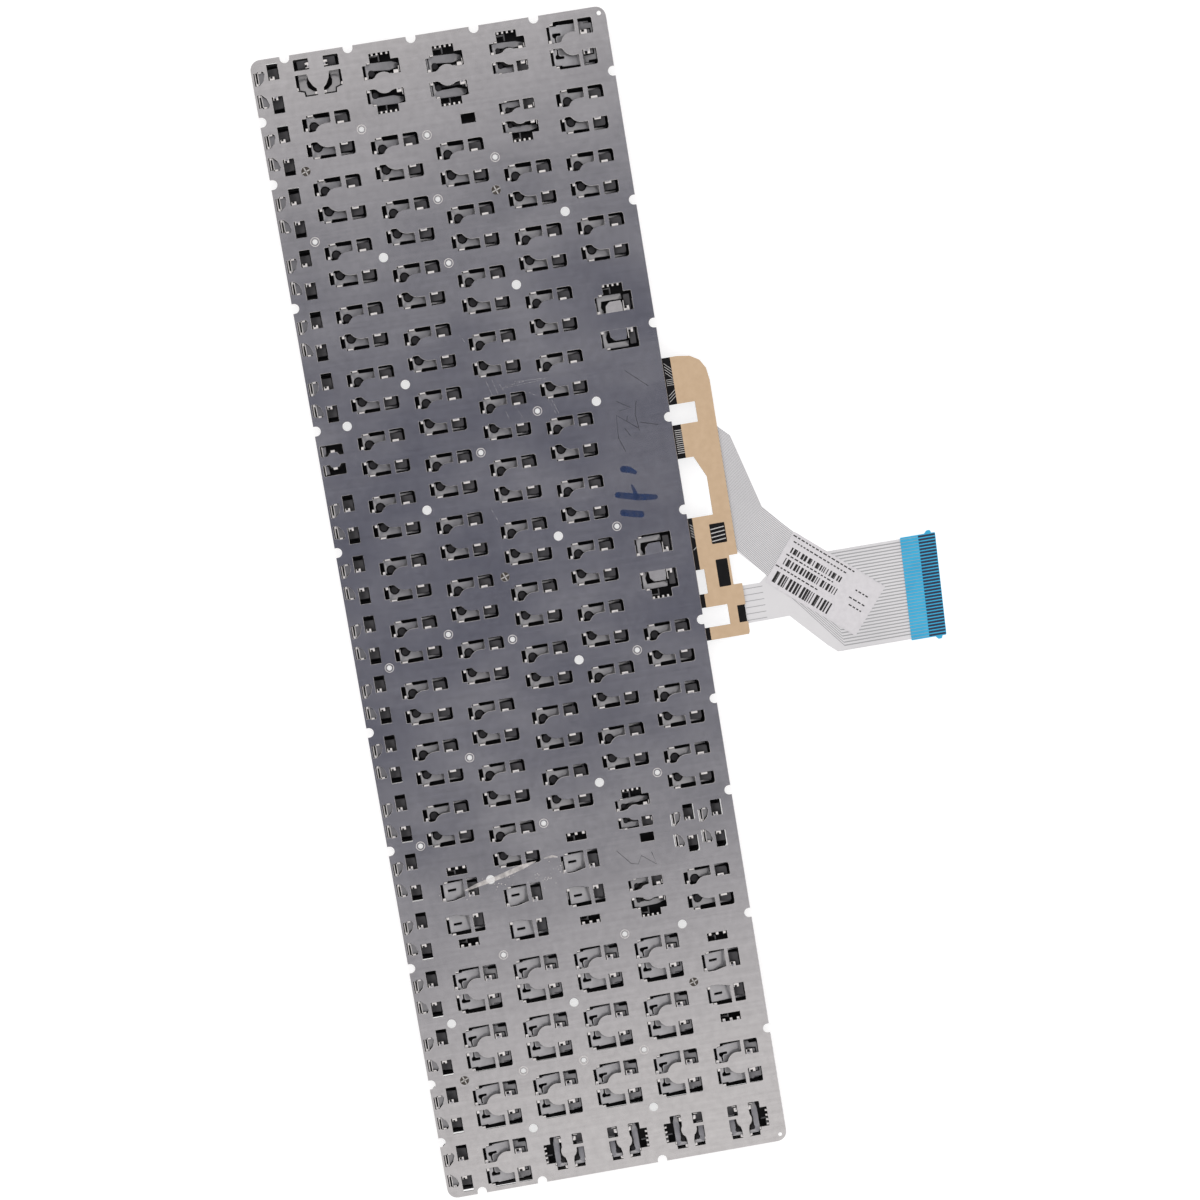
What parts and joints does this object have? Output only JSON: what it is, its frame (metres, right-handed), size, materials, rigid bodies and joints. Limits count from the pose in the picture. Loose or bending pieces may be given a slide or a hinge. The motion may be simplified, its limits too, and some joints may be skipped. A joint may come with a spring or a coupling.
{
  "type": "laptop replacement keyboard",
  "caption": "Laptop replacement keyboard with number pad, lying face down: stamped metal back plate, scissor keys under it and a flat ribbon tail with a stiffened contact end.",
  "frame": {"origin": "centre of the support plate's back face", "axes": "+X along the long side towards the Esc end, +Y towards the function row, +Z out of the back face, away from the key tops"},
  "size_m": [0.345, 0.1788, 0.0047],
  "materials": {
    "plate_metal": "satin, fine scratches",
    "membrane_film": "printed film",
    "dome_rubber": "moulded",
    "cap_plastic": "fine texture",
    "link_plastic": "moulded",
    "wire_steel": "bright drawn",
    "liner_paper": "kraft",
    "ribbon_film": "printed traces",
    "stiffener_film": "smooth",
    "label_paper": "matt"
  },
  "bodies": {
    "base": {"support_plate": "plate_metal", "contact_membrane": "membrane_film", "rubber_domes": "dome_rubber", "function_row_keycaps": "cap_plastic", "number_row_keycaps": "cap_plastic", "upper_row_keycaps": "cap_plastic", "lower_row_keycaps": "cap_plastic", "bottom_row_keycaps": "cap_plastic", "number_pad_keycaps": "cap_plastic", "stabilizer_wires": "wire_steel", "adhesive_liner": "liner_paper", "ribbon_cable": "ribbon_film", "contact_stiffener": "stiffener_film", "cable_label": "label_paper"},
    "key_caps_lock": {"keycap_caps_lock": "cap_plastic"},
    "outer_link_caps_lock": {"scissor_outer_caps_lock": "link_plastic"},
    "inner_link_caps_lock": {"scissor_inner_caps_lock": "link_plastic"},
    "wire_caps_lock": {"stabilizer_wire_caps_lock": "wire_steel"},
    "key_a": {"keycap_a": "cap_plastic"},
    "outer_link_a": {"scissor_outer_a": "link_plastic"},
    "inner_link_a": {"scissor_inner_a": "link_plastic"},
    "key_s": {"keycap_s": "cap_plastic"},
    "outer_link_s": {"scissor_outer_s": "link_plastic"},
    "inner_link_s": {"scissor_inner_s": "link_plastic"},
    "key_d": {"keycap_d": "cap_plastic"},
    "outer_link_d": {"scissor_outer_d": "link_plastic"},
    "inner_link_d": {"scissor_inner_d": "link_plastic"},
    "key_f": {"keycap_f": "cap_plastic"},
    "outer_link_f": {"scissor_outer_f": "link_plastic"},
    "inner_link_f": {"scissor_inner_f": "link_plastic"},
    "key_g": {"keycap_g": "cap_plastic"},
    "outer_link_g": {"scissor_outer_g": "link_plastic"},
    "inner_link_g": {"scissor_inner_g": "link_plastic"},
    "key_h": {"keycap_h": "cap_plastic"},
    "outer_link_h": {"scissor_outer_h": "link_plastic"},
    "inner_link_h": {"scissor_inner_h": "link_plastic"},
    "key_j": {"keycap_j": "cap_plastic"},
    "outer_link_j": {"scissor_outer_j": "link_plastic"},
    "inner_link_j": {"scissor_inner_j": "link_plastic"},
    "key_k": {"keycap_k": "cap_plastic"},
    "outer_link_k": {"scissor_outer_k": "link_plastic"},
    "inner_link_k": {"scissor_inner_k": "link_plastic"},
    "key_l": {"keycap_l": "cap_plastic"},
    "outer_link_l": {"scissor_outer_l": "link_plastic"},
    "inner_link_l": {"scissor_inner_l": "link_plastic"},
    "key_semicolon": {"keycap_semicolon": "cap_plastic"},
    "outer_link_semicolon": {"scissor_outer_semicolon": "link_plastic"},
    "inner_link_semicolon": {"scissor_inner_semicolon": "link_plastic"},
    "key_quote": {"keycap_quote": "cap_plastic"},
    "outer_link_quote": {"scissor_outer_quote": "link_plastic"},
    "inner_link_quote": {"scissor_inner_quote": "link_plastic"},
    "key_enter": {"keycap_enter": "cap_plastic"},
    "outer_link_enter": {"scissor_outer_enter": "link_plastic"},
    "inner_link_enter": {"scissor_inner_enter": "link_plastic"},
    "wire_enter": {"stabilizer_wire_enter": "wire_steel"},
    "key_space": {"keycap_space": "cap_plastic"},
    "outer_link_space": {"scissor_outer_space": "link_plastic"},
    "inner_link_space": {"scissor_inner_space": "link_plastic"},
    "wire_space": {"stabilizer_wire_space": "wire_steel"}
  },
  "joints": [
    {"name": "press_caps_lock", "type": "slide", "parent": "base", "child": "key_caps_lock", "axis": [0, 0, 1], "range_m": [0, 0.0015], "stiffness_N_per_m": 150, "springref_m": -0.002, "deforming": ["rubber_domes"]},
    {"name": "outer_fold_caps_lock", "type": "hinge", "parent": "base", "child": "outer_link_caps_lock", "pos_m": [0.15985, 0.00155, -0.00125], "axis": [-1, 0, 0], "range_deg": [0, 8.1]},
    {"name": "inner_fold_caps_lock", "type": "hinge", "parent": "key_caps_lock", "child": "inner_link_caps_lock", "pos_m": [0.15985, 0.00005, -0.00335], "axis": [1, 0, 0], "range_deg": [0, 11.05]},
    {"name": "wire_swing_caps_lock", "type": "hinge", "parent": "base", "child": "wire_caps_lock", "pos_m": [0.15985, -0.00335, -0.0012], "axis": [1, 0, 0], "range_deg": [0, 15.77]},
    {"name": "press_a", "type": "slide", "parent": "base", "child": "key_a", "axis": [0, 0, 1], "range_m": [0, 0.0015], "stiffness_N_per_m": 150, "springref_m": -0.002, "deforming": ["rubber_domes"]},
    {"name": "outer_fold_a", "type": "hinge", "parent": "base", "child": "outer_link_a", "pos_m": [0.13425, 0.00155, -0.00125], "axis": [-1, 0, 0], "range_deg": [0, 8.1]},
    {"name": "inner_fold_a", "type": "hinge", "parent": "key_a", "child": "inner_link_a", "pos_m": [0.13425, 0.00005, -0.00335], "axis": [1, 0, 0], "range_deg": [0, 11.05]},
    {"name": "press_s", "type": "slide", "parent": "base", "child": "key_s", "axis": [0, 0, 1], "range_m": [0, 0.0015], "stiffness_N_per_m": 150, "springref_m": -0.002, "deforming": ["rubber_domes"]},
    {"name": "outer_fold_s", "type": "hinge", "parent": "base", "child": "outer_link_s", "pos_m": [0.11545, 0.00155, -0.00125], "axis": [-1, 0, 0], "range_deg": [0, 8.1]},
    {"name": "inner_fold_s", "type": "hinge", "parent": "key_s", "child": "inner_link_s", "pos_m": [0.11545, 0.00005, -0.00335], "axis": [1, 0, 0], "range_deg": [0, 11.05]},
    {"name": "press_d", "type": "slide", "parent": "base", "child": "key_d", "axis": [0, 0, 1], "range_m": [0, 0.0015], "stiffness_N_per_m": 150, "springref_m": -0.002, "deforming": ["rubber_domes"]},
    {"name": "outer_fold_d", "type": "hinge", "parent": "base", "child": "outer_link_d", "pos_m": [0.09665, 0.00155, -0.00125], "axis": [-1, 0, 0], "range_deg": [0, 8.1]},
    {"name": "inner_fold_d", "type": "hinge", "parent": "key_d", "child": "inner_link_d", "pos_m": [0.09665, 0.00005, -0.00335], "axis": [1, 0, 0], "range_deg": [0, 11.05]},
    {"name": "press_f", "type": "slide", "parent": "base", "child": "key_f", "axis": [0, 0, 1], "range_m": [0, 0.0015], "stiffness_N_per_m": 150, "springref_m": -0.002, "deforming": ["rubber_domes"]},
    {"name": "outer_fold_f", "type": "hinge", "parent": "base", "child": "outer_link_f", "pos_m": [0.07785, 0.00155, -0.00125], "axis": [-1, 0, 0], "range_deg": [0, 8.1]},
    {"name": "inner_fold_f", "type": "hinge", "parent": "key_f", "child": "inner_link_f", "pos_m": [0.07785, 0.00005, -0.00335], "axis": [1, 0, 0], "range_deg": [0, 11.05]},
    {"name": "press_g", "type": "slide", "parent": "base", "child": "key_g", "axis": [0, 0, 1], "range_m": [0, 0.0015], "stiffness_N_per_m": 150, "springref_m": -0.002, "deforming": ["rubber_domes"]},
    {"name": "outer_fold_g", "type": "hinge", "parent": "base", "child": "outer_link_g", "pos_m": [0.05905, 0.00155, -0.00125], "axis": [-1, 0, 0], "range_deg": [0, 8.1]},
    {"name": "inner_fold_g", "type": "hinge", "parent": "key_g", "child": "inner_link_g", "pos_m": [0.05905, 0.00005, -0.00335], "axis": [1, 0, 0], "range_deg": [0, 11.05]},
    {"name": "press_h", "type": "slide", "parent": "base", "child": "key_h", "axis": [0, 0, 1], "range_m": [0, 0.0015], "stiffness_N_per_m": 150, "springref_m": -0.002, "deforming": ["rubber_domes"]},
    {"name": "outer_fold_h", "type": "hinge", "parent": "base", "child": "outer_link_h", "pos_m": [0.04025, 0.00155, -0.00125], "axis": [-1, 0, 0], "range_deg": [0, 8.1]},
    {"name": "inner_fold_h", "type": "hinge", "parent": "key_h", "child": "inner_link_h", "pos_m": [0.04025, 0.00005, -0.00335], "axis": [1, 0, 0], "range_deg": [0, 11.05]},
    {"name": "press_j", "type": "slide", "parent": "base", "child": "key_j", "axis": [0, 0, 1], "range_m": [0, 0.0015], "stiffness_N_per_m": 150, "springref_m": -0.002, "deforming": ["rubber_domes"]},
    {"name": "outer_fold_j", "type": "hinge", "parent": "base", "child": "outer_link_j", "pos_m": [0.02145, 0.00155, -0.00125], "axis": [-1, 0, 0], "range_deg": [0, 8.1]},
    {"name": "inner_fold_j", "type": "hinge", "parent": "key_j", "child": "inner_link_j", "pos_m": [0.02145, 0.00005, -0.00335], "axis": [1, 0, 0], "range_deg": [0, 11.05]},
    {"name": "press_k", "type": "slide", "parent": "base", "child": "key_k", "axis": [0, 0, 1], "range_m": [0, 0.0015], "stiffness_N_per_m": 150, "springref_m": -0.002, "deforming": ["rubber_domes"]},
    {"name": "outer_fold_k", "type": "hinge", "parent": "base", "child": "outer_link_k", "pos_m": [0.00265, 0.00155, -0.00125], "axis": [-1, 0, 0], "range_deg": [0, 8.1]},
    {"name": "inner_fold_k", "type": "hinge", "parent": "key_k", "child": "inner_link_k", "pos_m": [0.00265, 0.00005, -0.00335], "axis": [1, 0, 0], "range_deg": [0, 11.05]},
    {"name": "press_l", "type": "slide", "parent": "base", "child": "key_l", "axis": [0, 0, 1], "range_m": [0, 0.0015], "stiffness_N_per_m": 150, "springref_m": -0.002, "deforming": ["rubber_domes"]},
    {"name": "outer_fold_l", "type": "hinge", "parent": "base", "child": "outer_link_l", "pos_m": [-0.01615, 0.00155, -0.00125], "axis": [-1, 0, 0], "range_deg": [0, 8.1]},
    {"name": "inner_fold_l", "type": "hinge", "parent": "key_l", "child": "inner_link_l", "pos_m": [-0.01615, 0.00005, -0.00335], "axis": [1, 0, 0], "range_deg": [0, 11.05]},
    {"name": "press_semicolon", "type": "slide", "parent": "base", "child": "key_semicolon", "axis": [0, 0, 1], "range_m": [0, 0.0015], "stiffness_N_per_m": 150, "springref_m": -0.002, "deforming": ["rubber_domes"]},
    {"name": "outer_fold_semicolon", "type": "hinge", "parent": "base", "child": "outer_link_semicolon", "pos_m": [-0.03495, 0.00155, -0.00125], "axis": [-1, 0, 0], "range_deg": [0, 8.1]},
    {"name": "inner_fold_semicolon", "type": "hinge", "parent": "key_semicolon", "child": "inner_link_semicolon", "pos_m": [-0.03495, 0.00005, -0.00335], "axis": [1, 0, 0], "range_deg": [0, 11.05]},
    {"name": "press_quote", "type": "slide", "parent": "base", "child": "key_quote", "axis": [0, 0, 1], "range_m": [0, 0.0015], "stiffness_N_per_m": 150, "springref_m": -0.002, "deforming": ["rubber_domes"]},
    {"name": "outer_fold_quote", "type": "hinge", "parent": "base", "child": "outer_link_quote", "pos_m": [-0.05375, 0.00155, -0.00125], "axis": [-1, 0, 0], "range_deg": [0, 8.1]},
    {"name": "inner_fold_quote", "type": "hinge", "parent": "key_quote", "child": "inner_link_quote", "pos_m": [-0.05375, 0.00005, -0.00335], "axis": [1, 0, 0], "range_deg": [0, 11.05]},
    {"name": "press_enter", "type": "slide", "parent": "base", "child": "key_enter", "axis": [0, 0, 1], "range_m": [0, 0.0015], "stiffness_N_per_m": 150, "springref_m": -0.002, "deforming": ["rubber_domes"]},
    {"name": "outer_fold_enter", "type": "hinge", "parent": "base", "child": "outer_link_enter", "pos_m": [-0.0817, 0.00155, -0.00125], "axis": [-1, 0, 0], "range_deg": [0, 8.1]},
    {"name": "inner_fold_enter", "type": "hinge", "parent": "key_enter", "child": "inner_link_enter", "pos_m": [-0.0817, 0.00005, -0.00335], "axis": [1, 0, 0], "range_deg": [0, 11.05]},
    {"name": "wire_swing_enter", "type": "hinge", "parent": "base", "child": "wire_enter", "pos_m": [-0.0817, -0.00335, -0.0012], "axis": [1, 0, 0], "range_deg": [0, 15.77]},
    {"name": "press_space", "type": "slide", "parent": "base", "child": "key_space", "axis": [0, 0, 1], "range_m": [0, 0.0015], "stiffness_N_per_m": 150, "springref_m": -0.002, "deforming": ["rubber_domes"]},
    {"name": "outer_fold_space", "type": "hinge", "parent": "base", "child": "outer_link_space", "pos_m": [0.0453, -0.03565, -0.00125], "axis": [-1, 0, 0], "range_deg": [0, 8.1]},
    {"name": "inner_fold_space", "type": "hinge", "parent": "key_space", "child": "inner_link_space", "pos_m": [0.0453, -0.03715, -0.00335], "axis": [1, 0, 0], "range_deg": [0, 11.05]},
    {"name": "wire_swing_space", "type": "hinge", "parent": "base", "child": "wire_space", "pos_m": [0.0453, -0.04055, -0.0012], "axis": [1, 0, 0], "range_deg": [0, 15.77]}
  ],
  "couplings": [
    {"joint": "outer_fold_caps_lock", "follows": "press_caps_lock", "rad_per_m": 88.447},
    {"joint": "inner_fold_caps_lock", "follows": "press_caps_lock", "rad_per_m": 122.73},
    {"joint": "wire_swing_caps_lock", "follows": "press_caps_lock", "rad_per_m": 177.69},
    {"joint": "outer_fold_a", "follows": "press_a", "rad_per_m": 88.447},
    {"joint": "inner_fold_a", "follows": "press_a", "rad_per_m": 122.73},
    {"joint": "outer_fold_s", "follows": "press_s", "rad_per_m": 88.447},
    {"joint": "inner_fold_s", "follows": "press_s", "rad_per_m": 122.73},
    {"joint": "outer_fold_d", "follows": "press_d", "rad_per_m": 88.447},
    {"joint": "inner_fold_d", "follows": "press_d", "rad_per_m": 122.73},
    {"joint": "outer_fold_f", "follows": "press_f", "rad_per_m": 88.447},
    {"joint": "inner_fold_f", "follows": "press_f", "rad_per_m": 122.73},
    {"joint": "outer_fold_g", "follows": "press_g", "rad_per_m": 88.447},
    {"joint": "inner_fold_g", "follows": "press_g", "rad_per_m": 122.73},
    {"joint": "outer_fold_h", "follows": "press_h", "rad_per_m": 88.447},
    {"joint": "inner_fold_h", "follows": "press_h", "rad_per_m": 122.73},
    {"joint": "outer_fold_j", "follows": "press_j", "rad_per_m": 88.447},
    {"joint": "inner_fold_j", "follows": "press_j", "rad_per_m": 122.73},
    {"joint": "outer_fold_k", "follows": "press_k", "rad_per_m": 88.447},
    {"joint": "inner_fold_k", "follows": "press_k", "rad_per_m": 122.73},
    {"joint": "outer_fold_l", "follows": "press_l", "rad_per_m": 88.447},
    {"joint": "inner_fold_l", "follows": "press_l", "rad_per_m": 122.73},
    {"joint": "outer_fold_semicolon", "follows": "press_semicolon", "rad_per_m": 88.447},
    {"joint": "inner_fold_semicolon", "follows": "press_semicolon", "rad_per_m": 122.73},
    {"joint": "outer_fold_quote", "follows": "press_quote", "rad_per_m": 88.447},
    {"joint": "inner_fold_quote", "follows": "press_quote", "rad_per_m": 122.73},
    {"joint": "outer_fold_enter", "follows": "press_enter", "rad_per_m": 88.447},
    {"joint": "inner_fold_enter", "follows": "press_enter", "rad_per_m": 122.73},
    {"joint": "wire_swing_enter", "follows": "press_enter", "rad_per_m": 177.69},
    {"joint": "outer_fold_space", "follows": "press_space", "rad_per_m": 88.447},
    {"joint": "inner_fold_space", "follows": "press_space", "rad_per_m": 122.73},
    {"joint": "wire_swing_space", "follows": "press_space", "rad_per_m": 177.69}
  ]
}
